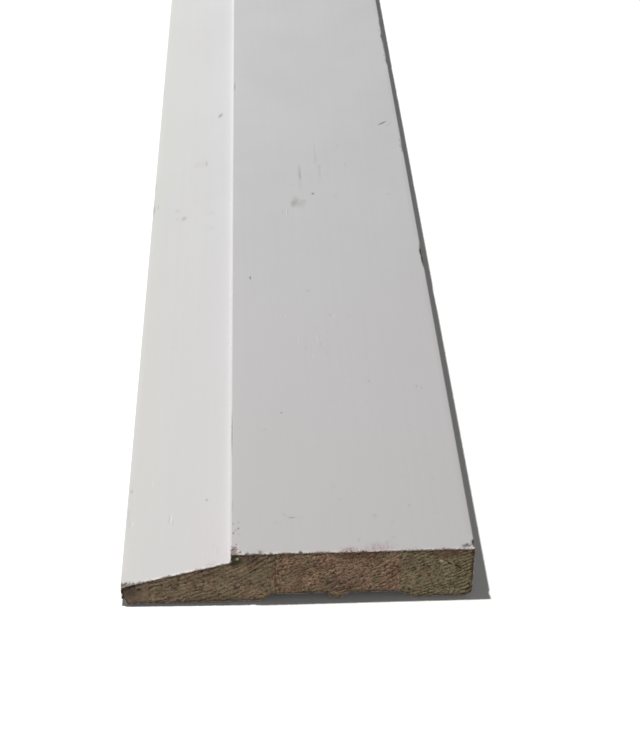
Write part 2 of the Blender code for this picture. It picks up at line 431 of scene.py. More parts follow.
@dataclass
class Casing:
    """The board: a mesh of its cross-section run along its length, then worn."""

    low: Vector
    high: Vector
    inner_edge_height: float = 5.8 * MM
    bevel_width: float = 27.9 * MM
    step_height: float = 2.6 * MM
    step_cove_radius: float = 1.0 * MM
    step_arris_radius: float = 0.3 * MM
    outer_face_radius: float = 0.4 * MM
    inner_face_radius: float = 0.3 * MM
    outer_back_radius: float = 2.4 * MM
    outer_foot_width: float = 15.7 * MM
    outer_groove_width: float = 18.2 * MM
    outer_groove_side: float = 2.6 * MM
    rib_width: float = 1.4 * MM
    inner_groove_width: float = 17.6 * MM
    inner_groove_side: float = 1.8 * MM
    groove_depth: float = 2.0 * MM
    groove_foot_radius: float = 0.8 * MM
    groove_root_radius: float = 1.5 * MM
    inner_chamfer_width: float = 1.2 * MM
    inner_chamfer_height: float = 2.0 * MM
    inner_chamfer_radius: float = 0.6 * MM
    arc_segments: int = 5
    end_zone: float = 5.0 * MM
    end_pitch: float = 0.27 * MM
    face_pitch: float = 2.0 * MM
    length_pitch: float = 4.0 * MM
    side_cuts: tuple[float, ...] = (0.7 * MM, 1.1 * MM, 1.7 * MM, 2.7 * MM)
    pitch_growth: float = 1.35
    refine_levels: int = 4
    refine_pitch: float = 0.24 * MM
    weld: float = 0.03 * MM
    tear_waves: float = 1700.0
    saw_waves: tuple[float, float] = (1100.0, 260.0)
    arris_ruffle: float = 0.18 * MM
    arris_reach: float = 0.45 * MM
    saw_ruffle: float = 0.06 * MM
    far_from_rim: float = 9.0
    least_mark_depth: float = 1.2
    mark_end: float = 1.15
    mark_bare_end: float = 1.5
    tear_ruffle: float = 0.6
    tear_gain: float = 1.25
    tear_soil_end: float = 1.2
    tear_bare_end: float = 1.4
    sharp_angle: float = math.radians(38)

    @property
    def step(self) -> float:
        """Where the step stands across the board."""
        return self.low.x + self.bevel_width

    @property
    def near(self) -> float:
        """Where the near end is along the board."""
        return self.low.y

    def groove(self, start: float, end: float, side: float) -> list[Corner]:
        """Corners of one back groove.

        Args:
            start: where the foot on its inner side ends.
            end: where the foot on its outer side starts.
            side: how wide each sloping side is.

        Returns:
            Four corners, from inner to outer.
        """
        top = self.low.z + self.groove_depth
        return [
            Corner(start, self.low.z, self.groove_foot_radius),
            Corner(start + side, top, self.groove_root_radius),
            Corner(end - side, top, self.groove_root_radius),
            Corner(end, self.low.z, self.groove_foot_radius),
        ]

    def corners(self) -> list[Corner]:
        """All corners of the cross-section, anticlockwise as seen from the near end."""
        inner, outer, base, top = self.low.x, self.high.x, self.low.z, self.high.z
        outer_end = outer - self.outer_foot_width
        outer_start = outer_end - self.outer_groove_width
        inner_end = outer_start - self.rib_width
        inner_start = inner_end - self.inner_groove_width
        return [
            Corner(inner + self.inner_chamfer_width, base, self.inner_chamfer_radius),
            *self.groove(inner_start, inner_end, self.inner_groove_side),
            *self.groove(outer_start, outer_end, self.outer_groove_side),
            Corner(outer, base, self.outer_back_radius),
            Corner(outer, top, self.outer_face_radius),
            Corner(self.step, top, self.step_arris_radius),
            Corner(self.step, top - self.step_height, self.step_cove_radius),
            Corner(inner, base + self.inner_edge_height, self.inner_face_radius),
            Corner(inner, base + self.inner_chamfer_height, self.inner_chamfer_radius),
        ]

    def prism(self) -> BMesh:
        """Runs the cross-section along the board and rounds its long edges.

        Returns:
            A closed mesh with a face at each end.
        """
        shape = bmesh.new()
        for layer in LAYERS:
            shape.verts.layers.float.new(layer)
        corners = self.corners()
        ring = [shape.verts.new((corner.x, self.near, corner.z)) for corner in corners]
        near_end = shape.faces.new(ring)
        grown = bmesh.ops.extrude_face_region(shape, geom=[near_end], use_keep_orig=True)
        moved = [item for item in grown["geom"] if isinstance(item, BMVert)]
        bmesh.ops.translate(shape, verts=moved, vec=(0.0, self.high.y - self.low.y, 0.0))
        bmesh.ops.recalc_face_normals(shape, faces=shape.faces)
        for at, corner in enumerate(corners):
            self.round_edge(shape, corner, corners[at - 1], corners[(at + 1) % len(corners)])
        return shape

    def round_edge(self, shape: BMesh, corner: Corner, before: Corner, after: Corner) -> None:
        """Rounds the long edge at one corner of the cross-section.

        Args:
            shape: the mesh.
            corner: the corner to round.
            before: the corner before it.
            after: the corner after it.
        """
        place = Vector((corner.x, corner.z))
        back = Vector((before.x, before.z)) - place
        ahead = Vector((after.x, after.z)) - place
        turn = math.pi - back.angle(ahead)
        edges = [
            edge
            for edge in shape.edges
            if all((Vector((v.co.x, v.co.z)) - place).length < TOUCH for v in edge.verts)
        ]
        bmesh.ops.bevel(
            shape,
            geom=edges,
            offset=corner.radius * math.tan(turn / 2),
            offset_type="OFFSET",
            segments=self.arc_segments,
            profile=0.5,
            affect="EDGES",
            clamp_overlap=False,
            material=-1,
        )

    @staticmethod
    def slice_up(shape: BMesh, faces: Iterable[BMFace], axis: Vector, places: Iterable[float]) -> None:
        """Cuts some faces by a row of planes.

        Args:
            shape: the mesh.
            faces: the faces to cut.
            axis: the way that the planes face.
            places: where they stand along that axis.
        """
        faces = list(faces)
        edges = {edge for face in faces for edge in face.edges}
        verts = {vert for face in faces for vert in face.verts}
        geom = [*verts, *edges, *faces]
        for place in places:
            plane = {"plane_co": axis * place, "plane_no": axis}
            geom = bmesh.ops.bisect_plane(shape, geom=geom, dist=TOUCH, **plane)["geom"]

    def stations(self) -> list[float]:
        """Where the board is cut along its length: closely at the near end, then wider."""
        places = []
        place, pitch = self.near, self.end_pitch
        while place + pitch < self.high.y - self.length_pitch / 2:
            place += pitch
            places.append(place)
            if place > self.near + self.end_zone:
                pitch = min(pitch * self.pitch_growth, self.length_pitch)
        return places

    @staticmethod
    def between(low: float, high: float, pitch: float) -> list[float]:
        """Evenly spaced places inside a span, about a pitch apart."""
        count = max(1, round((high - low) / pitch))
        return [low + (high - low) * at / count for at in range(1, count)]

    def grid(self, shape: BMesh) -> None:
        """Cuts the mesh finely at the near end, and into a coarse grid over the face.

        Args:
            shape: the mesh.
        """
        across, along, up = Vector((1, 0, 0)), Vector((0, 1, 0)), Vector((0, 0, 1))
        self.slice_up(shape, shape.faces, along, self.stations())
        zone_end = self.near + self.end_zone + self.end_pitch
        width, height = (self.low.x, self.high.x), (self.low.z, self.high.z)
        near_faces = [f for f in shape.faces if all(v.co.y < zone_end for v in f.verts)]
        self.slice_up(shape, near_faces, across, self.between(*width, self.end_pitch))
        cap = [f for f in shape.faces if all(v.co.y < self.near + TOUCH for v in f.verts)]
        self.slice_up(shape, cap, up, self.between(*height, self.end_pitch))
        for axis, span in ((across, width), (up, height)):
            cap = [f for f in shape.faces if all(v.co.y > self.high.y - TOUCH for v in f.verts)]
            self.slice_up(shape, cap, axis, self.between(*span, self.face_pitch / 2))
        shape.normal_update()
        flat = [f for f in shape.faces if abs(f.normal.z) > 0.5]
        flat = [f for f in flat if any(v.co.y > zone_end for v in f.verts)]
        self.slice_up(shape, flat, across, self.between(*width, self.face_pitch))
        for way, top in ((1, self.high.z), (-1, self.low.z + self.inner_edge_height)):
            side = [f for f in shape.faces if f.normal.x * way > 0.9]
            self.slice_up(shape, side, up, [top - drop for drop in self.side_cuts])
        bmesh.ops.remove_doubles(shape, verts=shape.verts, dist=self.weld)

    def top_height(self, x: float) -> float:
        """Height of the painted face at a place across the board."""
        foot = self.high.z - self.step_height
        edge = self.low.z + self.inner_edge_height
        if x > self.step:
            return self.high.z
        return edge + (foot - edge) * (x - self.low.x) / self.bevel_width

    def place_of(self, mark: Mark) -> Vector:
        """Where the middle of a mark is on the board."""
        first, second = mark.place[0] * MM, mark.place[1] * MM
        if mark.face is Face.END:
            return Vector((first, self.near, second))
        if mark.face is Face.OUTER_ARRIS:
            return Vector((self.high.x, self.near + second, self.high.z - first))
        return Vector((first, self.near + second, self.top_height(first)))

    def gaps(self, points: np.ndarray, mark: Mark) -> list[np.ndarray]:
        """How far points are from a mark's middle along each of its three axes."""
        gap = points - np.array(self.place_of(mark))
        return [gap @ np.array(axis) for axis in self.axes(mark)]

    def refine(self, shape: BMesh) -> None:
        """Makes the grid finer round each mark, in steps.

        Args:
            shape: the mesh.
        """
        for level in range(self.refine_levels):
            faces = list(shape.faces)
            centres = np.array([face.calc_center_median() for face in faces])
            longest = np.array([max(e.calc_length() for e in face.edges) for face in faces])
            margin = self.face_pitch / 2**level
            wanted = np.full(len(faces), np.inf)
            for mark in MARKS:
                first, second, inward = np.abs(self.gaps(centres, mark))
                inside = (first < mark.reach[0] * MM + margin) & (inward < MM)
                inside &= second < mark.reach[1] * MM + margin
                pitch = max(self.refine_pitch, min(mark.reach) * MM / 2.5)
                wanted[inside] = np.minimum(wanted[inside], pitch)
            edges = {
                edge
                for at in np.flatnonzero(longest > wanted * 1.5)
                for edge in faces[at].edges
                if edge.calc_length() > wanted[at]
            }
            bmesh.ops.subdivide_edges(shape, edges=list(edges), cuts=1, use_grid_fill=True)

    @staticmethod
    def axes(mark: Mark) -> tuple[Vector, Vector, Vector]:
        """Directions of a mark's first reach, its second reach and its depth."""
        turn = math.radians(mark.turn)
        if mark.face is Face.END:
            first = Vector((math.cos(turn), 0.0, math.sin(turn)))
            second = Vector((-math.sin(turn), 0.0, math.cos(turn)))
            return first, second, Vector((0.0, 1.0, 0.0))
        if mark.face is Face.OUTER_ARRIS:
            slant = math.sqrt(0.5)
            down, inward = Vector((slant, 0.0, -slant)), Vector((-slant, 0.0, -slant))
            return down, Vector((0.0, 1.0, 0.0)), inward
        first = Vector((math.cos(turn), math.sin(turn), 0.0))
        second = Vector((-math.sin(turn), math.cos(turn), 0.0))
        return first, second, Vector((0.0, 0.0, -1.0))

    def wear(self, shape: BMesh) -> None:
        """Sinks each mark and tear into the mesh, and notes what the paint shows there.

        Spread is how far out a point is, in reaches, and the fields named for an end say
        how far out each effect ends.

        Args:
            shape: the mesh, whose layers soil, tint and bare are filled.
        """
        verts = list(shape.verts)
        points = np.array([v.co for v in verts])
        shift = np.zeros_like(points)
        soil_and_shade, tint, bare, strongest = (np.zeros(len(verts)) for _ in range(4))

        def stain_and_shade(share: np.ndarray, wanted: Mark | Tear) -> None:
            """Adds one mark's soil, in places painted shade, and takes over the tint where it is the
            strongest.
            """
            nonlocal soil_and_shade
            amount = share * abs(wanted.soil_and_shade)
            soil_and_shade = soil_and_shade + share * wanted.soil_and_shade
            tint[amount > strongest] = wanted.tint
            np.maximum(strongest, amount, out=strongest)

        for mark in MARKS:
            first, second, inward = self.gaps(points, mark)
            spread = np.hypot(first / (mark.reach[0] * MM), second / (mark.reach[1] * MM))
            spread = np.hypot(spread, inward / (max(mark.reach[0], self.least_mark_depth) * MM))
            share = np.clip(self.mark_end - spread, 0.0, 1.0)
            share = share * share * (3 - 2 * share)
            shift += (share * mark.depth * MM)[:, None] * np.array(self.axes(mark)[2])
            stain_and_shade(share, mark)
            bare = np.maximum(bare, np.clip(self.mark_bare_end - spread, 0.0, 1.0) * mark.bare)
        ruffle = np.array([noise.noise(v.co * self.tear_waves) for v in verts])
        for tear in TEARS:
            place = np.array(tear.place) * MM + np.array((0.0, self.near, 0.0))
            spread = np.linalg.norm((points - place) / (np.array(tear.reach) * MM), axis=1)
            spread += ruffle * self.tear_ruffle
            share = np.clip(self.tear_gain - self.tear_gain * spread, 0.0, 1.0) ** 0.7
            pull = np.array(tear.pull) / np.linalg.norm(tear.pull)
            shift += (share * tear.depth * MM * (1 + 0.4 * ruffle))[:, None] * pull
            stain_and_shade(np.clip(self.tear_soil_end - spread, 0.0, 1.0), tear)
            bare = np.maximum(bare, np.clip(self.tear_bare_end - spread, 0.0, 1.0) * tear.bare)
        layers = shape.verts.layers.float
        for name, values in (("soil_and_shade", soil_and_shade), ("tint", tint), ("bare", bare)):
            for vert, value in zip(verts, values):
                vert[layers[name]] = value
        for vert, move in zip(verts, shift):
            vert.co = vert.co + Vector(move)

    def outline_segments(self) -> list[tuple[Vector, Vector]]:
        """Straight runs of the cross-section between its corners."""
        points = [Vector((corner.x, corner.z)) for corner in self.corners()]
        return list(zip(points, points[1:] + points[:1]))

    def ruffle_end(self, shape: BMesh) -> None:
        """Roughens the saw cut and its arris, always inward, and notes how far in a point is.

        Args:
            shape: the mesh, whose layer rim is filled: millimetres from the cut's outline.
        """
        rim_layer = shape.verts.layers.float["rim"]
        segments = self.outline_segments()
        for vert in shape.verts:
            vert[rim_layer] = self.far_from_rim
            from_near = vert.co.y - self.near
            from_far = self.high.y - vert.co.y
            if min(from_near, from_far) > self.end_zone / 2:
                continue
            place = Vector((vert.co.x, vert.co.z))
            rim = min(self.segment_distance(place, a, b) for a, b in segments)
            if min(from_near, from_far) < TOUCH:
                vert[rim_layer] = rim / MM
            if from_near > self.end_zone / 2:
                continue
            away = math.hypot(rim, from_near)
            rough, broad = (0.5 + 0.5 * noise.noise(vert.co * waves) for waves in self.saw_waves)
            if from_near < TOUCH:
                vert.co.y += self.saw_ruffle * (0.6 * rough + 0.4 * broad)
            near_arris = math.exp(-away / self.arris_reach)
            centre = Vector((place.x * 0.6, vert.co.y + 3 * MM, self.high.z * 0.45))
            pull = (centre - vert.co).normalized()
            pull.x *= 0.3
            vert.co += pull * (self.arris_ruffle * near_arris * (0.3 + 1.2 * rough * broad))

    @staticmethod
    def segment_distance(place: Vector, start: Vector, end: Vector) -> float:
        """Distance from a point to a straight run between two others."""
        run = end - start
        share = max(0.0, min(1.0, (place - start).dot(run) / run.length_squared))
        return (start + run * share - place).length

    def build(self, painted: Material, sawn: Material) -> Object:
        """Makes the board.

        Args:
            painted: finish of the primed faces.
            sawn: finish of the two cut ends.

        Returns:
            The finished piece, with its place in its mesh.
        """
        shape = self.prism()
        self.grid(shape)
        self.refine(shape)
        shape.normal_update()
        for face in shape.faces:
            face.material_index = 1 if abs(face.normal.y) > 0.9 else 0
            face.smooth = True
        many = [f for f in shape.faces if len(f.verts) > 4 and f.material_index == 0]
        bmesh.ops.poke(shape, faces=many)
        self.ruffle_end(shape)
        self.wear(shape)
        many = [f for f in shape.faces if len(f.verts) > 4]
        bmesh.ops.triangulate(shape, faces=many, quad_method="BEAUTY")
        shape.normal_update()
        mesh = bpy.data.meshes.new(PIECE)
        shape.to_mesh(mesh)
        shape.free()
        mesh.materials.append(painted)
        mesh.materials.append(sawn)
        mesh.set_sharp_from_angle(angle=self.sharp_angle)
        board = bpy.data.objects.new(PIECE, mesh)
        bpy.context.scene.collection.objects.link(board)
        return board


@dataclass(frozen=True)
class Stave:
    """One of the strips of pine that the board is glued from, in millimetres.

    It starts at a place across the board and ends where the next one starts. Its rings are
    circles round the pith, which lies outside the board. Grit is how coarse its pores look.
    """

    start: float
    pith: tuple[float, float]
    ring_spacing: float
    ring_strength: float
    grit: float
    early: str
    late: str


@dataclass(frozen=True)
class SawnPine:
    """Pine cut across the grain: dull, dirty and fuzzy, so it drinks light and has no shine."""

    name: str = "sawn_pine"
    roughness: float = 0.92
    ior: float = 1.45
    squeeze: tuple[float, float, float] = (1.0, 0.02, 1.0)
    grain_angle: float = 26.0
    wobble: float = 2.4
    wobble_size: float = 5.5
    jitter: float = 0.9
    ragged: float = 2.6
    joint_blur: float = 0.2
    fibre_size: float = 0.42
    pore_size: tuple[float, float] = (1.25, 0.48)
    tooth_size: tuple[float, float] = (0.28, 3.5)
    patch_size: float = 5.0
    hue_size: float = 4.2
    bit_size: float = 0.6
    fuzz_size: float = 0.3
    staves: tuple[Stave, ...] = (
        Stave(-45.0, (-40.0, -30.0), 2.6, 0.20, 0.55, "B39B82", "806853"),
        Stave(-37.2, (-55.5, 78.0), 1.25, 0.95, 1.05, "C8AE8D", "664C37"),
        Stave(-5.6, (-30.0, 90.0), 1.45, 0.90, 1.50, "CFAB8C", "5F422A"),
        Stave(26.0, (0.0, 95.0), 1.10, 1.00, 1.25, "C2B28B", "473A1F"),
    )
    joint_shares: tuple[float, ...] = (0.25, 0.75, 0.12)
    olive: str = "98956E"
    umber: str = "A07660"
    dusk: str = "8A7868"
    pore: str = "443122"
    glue: str = "5E4634"
    # Dirt, and the painted shade of the band along the cut's outline
    dirt_and_shade: str = "30241B"
    rust: str = "6E3A2E"
    fleck: str = "EDE6CC"
    lip: str = "E4E0DA"
    glue_width: float = 0.30
    comb_width: float = 3.2
    bump: float = 0.6
    bump_height: float = 0.06

    def colour(self, net: Network, place: NodeSocket) -> tuple[NodeSocket, NodeSocket]:
        """Draws the wood itself.

        Args:
            net: the material's nodes.
            place: object coordinates.

        Returns:
            The colour, and the height of the grain from 0 to 1.
        """
        flat = net.add("VectorMath", {0: place, 1: self.squeeze}, operation="MULTIPLY")
        drift = net.add("TexNoise", {"Vector": flat, "Scale": per_metre(self.wobble_size), "Detail": 4.0})
        fine = {"Scale": per_metre(self.fibre_size), "Detail": 2.0, "Roughness": 0.55, "Distortion": 1.1}
        fibre = net.add("TexNoise", {"Vector": flat, **fine})
        broken = net.add("TexNoise", {"Vector": flat, "Scale": per_metre(self.patch_size), "Detail": 3.0})
        patch = net.add("MapRange", {"Value": broken, "From Min": 0.40, "From Max": 0.62, "To Min": 0.15})
        across = net.add("SeparateXYZ", {0: flat}, "X")
        shift = net.add("Math", {0: drift, 1: self.wobble * MM}, operation="MULTIPLY")
        bend = net.add("Math", {0: fibre, 1: self.jitter * MM, 2: shift}, operation="MULTIPLY_ADD")
        ragged = net.add("Math", {0: fibre, 1: self.ragged * MM, 2: across}, operation="MULTIPLY_ADD")
        wood = height = grit = None
        for stave in self.staves:
            pith = (stave.pith[0] * MM, 0.0, stave.pith[1] * MM)
            far = net.add("VectorMath", {0: flat, 1: pith}, "Value", operation="DISTANCE")
            bent = net.add("Math", {0: far, 1: bend}, operation="ADD")
            pace = 2 * math.pi / (stave.ring_spacing * MM)
            turns = net.add("Math", {0: bent, 1: pace}, operation="MULTIPLY")
            wave = net.add("Math", {0: turns}, operation="SINE")
            late = {"Value": wave, "From Max": 0.9, "To Max": stave.ring_strength}
            band = net.add("MapRange", late, interpolation_type="SMOOTHSTEP")
            ring = net.add("Math", {0: band, 1: patch}, operation="MULTIPLY")
            hues = {"A": stave.early, "B": stave.late}
            look = net.add("Mix", {"Factor": ring, **hues}, **COLOURS)
            if wood is None:
                wood, height, grit = look, ring, stave.grit
                continue
            joint, blur = (stave.start + self.ragged / 2) * MM, self.joint_blur * MM
            seam = {"From Min": joint - blur, "From Max": joint + blur}
            inside = net.add("MapRange", {"Value": ragged, **seam})
            wood = net.add("Mix", {"Factor": inside, "A": wood, "B": look}, **COLOURS)
            height = net.add("Mix", {"Factor": inside, "A": height, "B": ring})
            grit = net.add("Mix", {"Factor": inside, "A": grit, "B": stave.grit})
        return self.grained(net, flat, wood, fibre, grit), height

    def grained(
        self, net: Network, flat: NodeSocket, wood: NodeSocket, fibre: NodeSocket, grit: NodeSocket
    ) -> NodeSocket:
        """Adds what lies over the rings: hue drift, fibres, pores and the glue lines.

        Args:
            net: the material's nodes.
            flat: object coordinates, squeezed along the board.
            wood: the rings' colour.
            fibre: fine noise from 0 to 1.
            grit: how coarse the pores look.

        Returns:
            The colour of bare wood.
        """
        broad = {"Scale": per_metre(self.hue_size), "Detail": 3.0, "Roughness": 0.6}
        hue = net.add("TexNoise", {"Vector": flat, **broad}, "Color")
        drifts = (("X", self.olive, 0.60), ("Y", self.umber, 0.50), ("Z", self.dusk, 0.50))
        for axis, colour, share in drifts:
            level = net.add("SeparateXYZ", {0: hue}, axis)
            span = {"From Min": 0.50, "From Max": 0.66, "To Max": share}
            amount = net.add("MapRange", {"Value": level, **span})
            wood = net.add("Mix", {"Factor": amount, "A": wood, "B": colour}, **COLOURS)
        swing = {"From Min": 0.30, "From Max": 0.70, "To Min": -0.55, "To Max": 0.55}
        gain = net.add("MapRange", {"Value": fibre, **swing})
        gain = net.add("Math", {0: gain, 1: grit, 2: 1.0}, operation="MULTIPLY_ADD")
        wood = net.add("VectorMath", {0: wood, "Scale": gain}, operation="SCALE")
        slant = (0.0, -math.radians(self.grain_angle), 0.0)
        size = (self.pore_size[0] * MM, MM, self.pore_size[1] * MM)
        turned = {"Vector": flat, "Rotation": slant, "Scale": size}
        along = net.add("Mapping", turned, vector_type="TEXTURE")
        streak = net.add("TexNoise", {"Vector": along, "Scale": 1.0, "Detail": 2.0, "Distortion": 0.5})
        pores = net.add("MapRange", {"Value": streak, "From Min": 0.53, "From Max": 0.66})
        pores = net.add("Math", {0: pores, 1: grit}, operation="MULTIPLY", use_clamp=True)
        pores = net.add("Math", {0: pores, 1: 0.8}, operation="MULTIPLY")
        wood = net.add("Mix", {"Factor": pores, "A": wood, "B": self.pore}, **COLOURS)
        size = (self.tooth_size[0] * MM, MM, self.tooth_size[1] * MM)
        comb = net.add("Mapping", {"Vector": flat, "Scale": size}, vector_type="TEXTURE")
        teeth = net.add("TexNoise", {"Vector": comb, "Scale": 1.0, "Detail": 1.0})
        teeth = net.add("MapRange", {"Value": teeth, "From Min": 0.46, "From Max": 0.66})
        across = net.add("SeparateXYZ", {0: flat}, "X")
        for stave, share in zip(self.staves[1:], self.joint_shares):
            gap = net.add("Math", {0: across, 1: stave.start * MM}, operation="SUBTRACT")
            near = net.add("Math", {0: gap}, operation="ABSOLUTE")
            line, tooth = (
                net.add("MapRange", {"Value": near, "From Max": width * MM, "To Min": share, "To Max": 0.0})
                for width in (self.glue_width, self.comb_width)
            )
            tooth = net.add("Math", {0: tooth, 1: teeth}, operation="MULTIPLY")
            line = net.add("Math", {0: line, 1: tooth}, operation="MAXIMUM")
            wood = net.add("Mix", {"Factor": line, "A": wood, "B": self.glue}, **COLOURS)
        return wood

    def build(self) -> Material:
        """Makes the finish of the cut ends.

        Returns:
            The material.
        """
        net = Network.start(self.name)
        place = net.add("TexCoord", {}, "Object")
        wood, rings = self.colour(net, place)
        rim = net.add("Attribute", {}, "Fac", attribute_name="rim")
        bits = net.add("TexNoise", {"Vector": place, "Scale": per_metre(self.bit_size), "Detail": 2.0})
        # A broken dark band along the cut's outline: partly dirt on the torn fibres, partly painted shade
        edge = net.add("Math", {0: bits, 1: -1.4, 2: rim}, operation="MULTIPLY_ADD")
        fade = {"From Min": -0.55, "From Max": 0.45, "To Min": 0.7, "To Max": 0.0}
        dark = net.add("MapRange", {"Value": edge, **fade})
        wood = net.add("Mix", {"Factor": dark, "A": wood, "B": self.dirt_and_shade}, **COLOURS)
        wood = with_marks(net, wood, bits, (self.dirt_and_shade, self.rust, self.olive, self.fleck))
        curl = net.add("Math", {0: bits, 1: -0.85, 2: rim}, operation="MULTIPLY_ADD")
        fade = {"From Min": -0.42, "From Max": -0.28, "To Min": 0.9, "To Max": 0.0}
        lip = net.add("MapRange", {"Value": curl, **fade})
        final = net.add("Mix", {"Factor": lip, "A": wood, "B": self.lip}, **COLOURS)
        fuzz = net.add("TexNoise", {"Vector": place, "Scale": per_metre(self.fuzz_size), "Detail": 4.0})
        level = net.add("Math", {0: fuzz, 1: 1.2, 2: rings}, operation="MULTIPLY_ADD")
        relief = {"Strength": self.bump, "Distance": self.bump_height * MM, "Height": level}
        normal = net.add("Bump", relief)
        return net.shade(
            {"Base Color": final, "Normal": normal, "Roughness": self.roughness, "IOR": self.ior}
        )


def with_marks(
    net: Network, clean: NodeSocket, bits: NodeSocket, hues: tuple[str, str, str, str]
) -> NodeSocket:
    """Lays the marks noted on the mesh over a colour.

    Args:
        net: the material's nodes.
        clean: the colour without them.
        bits: fine noise from 0 to 1, which breaks them up.
        hues: what plain, reddish and greenish soil turn it to, and what a light mark does.

    Returns:
        The marked colour.
    """
    plain, reddish, greenish, pale = hues
    soil_and_shade = net.add("Attribute", {}, "Fac", attribute_name="soil_and_shade")
    tint = net.add("Attribute", {}, "Fac", attribute_name="tint")
    red = net.add("Math", {0: tint, 1: 1.0}, operation="MULTIPLY", use_clamp=True)
    green = net.add("Math", {0: tint, 1: -1.0}, operation="MULTIPLY", use_clamp=True)
    dirt_and_shade = net.add("Mix", {"Factor": red, "A": plain, "B": reddish}, **COLOURS)
    dirt_and_shade = net.add("Mix", {"Factor": green, "A": dirt_and_shade, "B": greenish}, **COLOURS)
    uneven = net.add("Math", {0: bits, 1: 1.1, 2: 0.45}, operation="MULTIPLY_ADD")
    dark = net.add("Math", {0: soil_and_shade, 1: uneven}, operation="MULTIPLY", use_clamp=True)
    marked = net.add("Mix", {"Factor": dark, "A": clean, "B": dirt_and_shade}, **COLOURS)
    light = net.add("Math", {0: soil_and_shade, 1: -1.0}, operation="MULTIPLY", use_clamp=True)
    return net.add("Mix", {"Factor": light, "A": marked, "B": pale}, **COLOURS)


